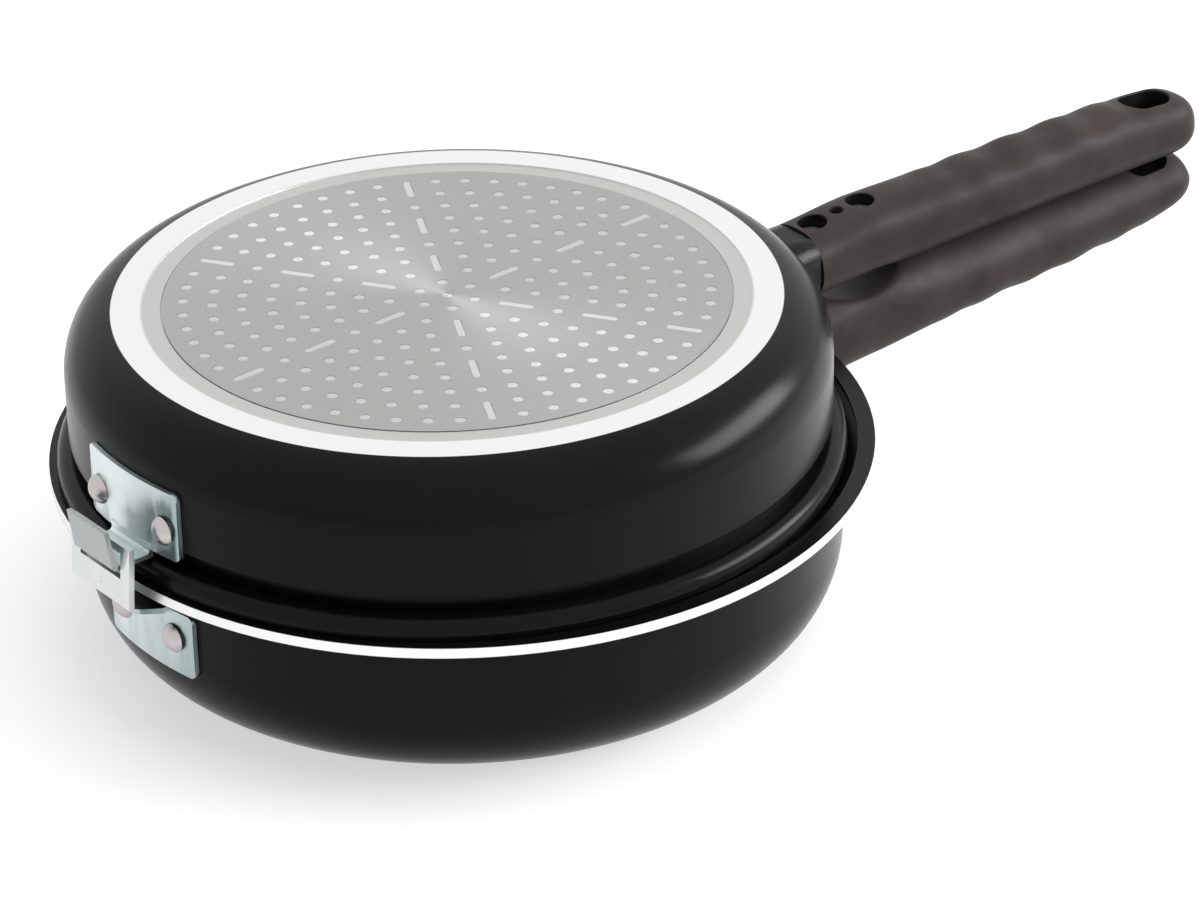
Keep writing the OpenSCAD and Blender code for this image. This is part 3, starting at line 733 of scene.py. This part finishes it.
def make_grip(name, replaced, grip, body, seam, up):
    """One grip moulding with its holes and scoop; up is -1 for the grip that hangs below."""
    mesh = grip.solid()
    bmesh.ops.recalc_face_normals(mesh, faces=mesh.faces)
    obj = new_piece(name, mesh, bakelite)
    cutters = [back_hole(grip, x, 0.0, RECESS_R, 0.5 * MM,
                         along(x, grip.line) - RECESS_DEPTH) for x in SCREW_XS]
    cutters.append(back_hole(grip, CORE_X, 0.0, CORE_R, 0.4 * MM,
                             along(CORE_X, grip.line) - CORE_DEPTH))
    cutters.append(back_hole(grip, HANG_X, HANG_L - 2 * HANG_R, HANG_R, 0.9 * MM, None))
    cutters.append(scoop(grip))
    carve(obj, cutters)
    place = Matrix.Translation((GRIP_X, 0, seam)) @ Matrix.Diagonal((1, 1, up, 1))
    obj.data.transform(place)
    if up < 0:
        obj.data.flip_normals()
    obj.data.shade_smooth()
    obj.data.set_sharp_from_angle(angle=math.radians(38))
    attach(obj, body)
    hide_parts(replaced)


make_grip("upper_grip_moulding", "upper_grip", Grip(UPPER_LINE, 13 * MM, 12.4 * MM, 0.44, 1.9, 2.5),
          "upper_half", UPPER_SEAM, 1)
make_grip("lower_grip_moulding", "lower_grip", Grip(LOWER_LINE, 11 * MM, 10.6 * MM, 0.5, 1.6, 2.3),
          "lower_half", LOWER_SEAM, -1)


# ---- floor, light and camera ----

WORLD_LIGHT = 0.34
FLOOR_HALF = 6.0
CAMERA_AT = (-0.79536, -1.07486, 0.78317)
CAMERA_RIGHT = (0.778599, -0.627259, -0.018146)
CAMERA_UP = (0.313808, 0.364154, 0.876879)
CAMERA_BACK = (-0.543423, -0.688431, 0.480368)
LENS = 150.09
LIT_POINT = (0.0, 0.0, 0.05)

# name: place, size, power, seen in reflections
LAMPS = {
    "right_box": ((1.06, -0.71, 0.55), (1.0, 0.45), 16.5, True),
    "front_fill": ((0.55, -1.18, 0.65), (0.8, 0.5), 4.0, False),
    "top_box": ((0.15, 0.05, 1.45), (1.7, 1.5), 18.0, False),
}


def floor():
    """White sweep that shows the object's shadow, seen and mirrored at full white."""
    mesh = bpy.data.meshes.new("floor")
    half = FLOOR_HALF
    mesh.from_pydata([(-half, -half, 0), (half, -half, 0), (half, half, 0), (-half, half, 0)],
                     [], [(0, 1, 2, 3)])
    obj = bpy.data.objects.new("floor", mesh)
    bpy.context.scene.collection.objects.link(obj)
    mat = Nodes("floor_white")
    rays = mat.add("ShaderNodeLightPath").outputs
    seen = mat.math("ADD", rays["Is Camera Ray"],
                    mat.math("ADD", rays["Is Glossy Ray"], rays["Is Transmission Ray"]),
                    clamp=True)
    tone = mat.mix(seen, rgb(0.40, 0.40, 0.40), rgb(0.86, 0.86, 0.86))
    matte = mat.add("ShaderNodeBsdfDiffuse", {"Color": tone})
    glow = mat.add("ShaderNodeEmission", {"Color": rgb(1, 1, 1), "Strength": 1.5})
    both = mat.add("ShaderNodeMixShader", {0: mat.math("MULTIPLY", seen, 0.4)})
    mat.tree.links.new(matte.outputs[0], both.inputs[1])
    mat.tree.links.new(glow.outputs[0], both.inputs[2])
    mat.tree.links.new(both.outputs[0], mat.out.inputs["Surface"])
    dress(obj, mat.mat)


def world():
    """Soft light from all round, which the camera and reflections see as white."""
    w = bpy.data.worlds.new("studio")
    bpy.context.scene.world = w
    w.use_nodes = True
    tree = w.node_tree
    tree.nodes.clear()
    out = tree.nodes.new("ShaderNodeOutputWorld")
    rays = tree.nodes.new("ShaderNodeLightPath")
    add = tree.nodes.new("ShaderNodeMath")
    add.operation = "ADD"
    add.use_clamp = True
    add2 = tree.nodes.new("ShaderNodeMath")
    add2.operation = "ADD"
    tree.links.new(rays.outputs["Is Glossy Ray"], add2.inputs[0])
    tree.links.new(rays.outputs["Is Transmission Ray"], add2.inputs[1])
    tree.links.new(rays.outputs["Is Camera Ray"], add.inputs[0])
    tree.links.new(add2.outputs[0], add.inputs[1])
    dim = tree.nodes.new("ShaderNodeBackground")
    dim.inputs["Strength"].default_value = WORLD_LIGHT
    white = tree.nodes.new("ShaderNodeBackground")
    white.inputs["Color"].default_value = rgb(1, 1, 1)
    mix = tree.nodes.new("ShaderNodeMixShader")
    tree.links.new(add.outputs[0], mix.inputs[0])
    tree.links.new(dim.outputs[0], mix.inputs[1])
    tree.links.new(white.outputs[0], mix.inputs[2])
    tree.links.new(mix.outputs[0], out.inputs["Surface"])


def area_light(name, place, size, power, glossy):
    """A softbox aimed at the object."""
    data = bpy.data.lights.new(name, "AREA")
    data.shape = "RECTANGLE"
    data.size, data.size_y = size
    data.energy = power
    obj = bpy.data.objects.new(name, data)
    bpy.context.scene.collection.objects.link(obj)
    obj.location = place
    aim = Vector(LIT_POINT) - Vector(place)
    obj.rotation_euler = aim.to_track_quat("-Z", "Y").to_euler()
    obj.visible_glossy = glossy


def camera():
    """The photograph's camera, fitted to the rims and the base."""
    data = bpy.data.cameras.new("camera")
    data.sensor_width = 36.0
    data.lens = LENS
    data.clip_start = 0.05
    data.clip_end = 50.0
    obj = bpy.data.objects.new("camera", data)
    bpy.context.scene.collection.objects.link(obj)
    turn = Matrix((CAMERA_RIGHT, CAMERA_UP, CAMERA_BACK)).transposed().to_4x4()
    obj.matrix_world = Matrix.Translation(CAMERA_AT) @ turn
    bpy.context.scene.camera = obj


floor()
world()
camera()
for lamp_name, lamp in LAMPS.items():
    area_light(lamp_name, *lamp)

view = bpy.context.scene.view_settings
view.view_transform = "Standard"
